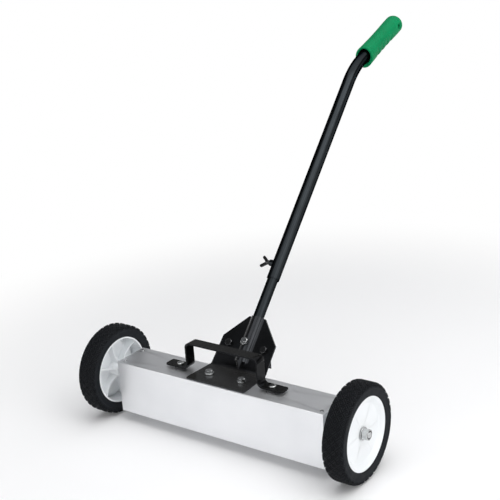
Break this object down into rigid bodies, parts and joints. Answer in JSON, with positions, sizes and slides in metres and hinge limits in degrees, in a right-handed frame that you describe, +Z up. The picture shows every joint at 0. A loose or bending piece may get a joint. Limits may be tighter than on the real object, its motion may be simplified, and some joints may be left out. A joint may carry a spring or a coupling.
{
  "type": "magnetic floor sweeper",
  "caption": "Push magnetic floor sweeper: aluminium magnet housing between two rubber-tyred wheels, a lift-to-release strap on top and a telescopic pole with a rubber grip.",
  "frame": {"origin": "middle of the footprint, on the floor under the wheels", "axes": "+X along the housing, +Y to the back where the pole leans, +Z up"},
  "size_m": [0.6018, 0.7872, 0.7058],
  "materials": {
    "satin_aluminium": "satin",
    "black_coated_steel": "semi-gloss powder coat",
    "black_tube": "semi-gloss",
    "black_steel": "satin",
    "zinc": "zinc plated",
    "bare_steel": "plain",
    "white_plastic": "smooth moulded",
    "tyre_rubber": "matte",
    "green_grip": "soft satin",
    "black_plastic": "matte",
    "ferrite": "sintered"
  },
  "bodies": {
    "chassis": {"housing_shell": "satin_aluminium", "end_plate_left": "satin_aluminium", "end_plate_right": "satin_aluminium", "corner_screws": "zinc", "handle_bracket": "black_coated_steel", "rear_clamp_plate": "black_coated_steel", "bracket_bolts": "zinc", "bracket_nuts": "zinc", "clamp_bolts": "black_steel", "clamp_nuts": "black_steel", "pole_bolt": "zinc", "pole_nut": "zinc", "lower_tube": "black_tube", "rod_bushes": "black_plastic", "return_springs": "bare_steel", "axle_bolt_left": "zinc", "axle_bolt_right": "zinc", "axle_spacer_left": "bare_steel", "axle_spacer_right": "bare_steel", "axle_washer_left": "zinc", "axle_washer_right": "zinc", "axle_nut_left": "zinc", "axle_nut_right": "zinc"},
    "wheel_left": {"hub_left": "white_plastic", "tyre_left": "tyre_rubber", "hub_sleeve_left": "bare_steel"},
    "wheel_right": {"hub_right": "white_plastic", "tyre_right": "tyre_rubber", "hub_sleeve_right": "bare_steel"},
    "release": {"release_strap": "black_coated_steel", "strap_screws": "zinc", "lift_rods": "bare_steel", "rod_nuts": "zinc", "magnet_yoke": "bare_steel", "magnet_blocks": "ferrite"},
    "handle": {"upper_tube": "black_tube", "tube_boss": "black_tube", "grip": "green_grip"},
    "lock": {"wing_screw": "black_steel"}
  },
  "joints": [
    {"name": "wheel_left_spin", "type": "hinge", "parent": "chassis", "child": "wheel_left", "pos_m": [0, -0.30456, 0.089], "axis": [1, 0, 0], "continuous": true},
    {"name": "wheel_right_spin", "type": "hinge", "parent": "chassis", "child": "wheel_right", "pos_m": [0, -0.30456, 0.089], "axis": [1, 0, 0], "continuous": true},
    {"name": "release_lift", "type": "slide", "parent": "chassis", "child": "release", "axis": [0, 0, 1], "range_m": [0, 0.04], "stiffness_N_per_m": 500, "springref_m": -0.03, "deforming": ["return_springs"]},
    {"name": "handle_slide", "type": "slide", "parent": "chassis", "child": "handle", "axis": [0, 0.6865, 0.7272], "range_m": [-0.075, 0.3]},
    {"name": "lock_turn", "type": "hinge", "parent": "handle", "child": "lock", "pos_m": [0, -0.11196, 0.28863], "axis": [-1, 0, 0], "range_deg": [0, 360]}
  ]
}
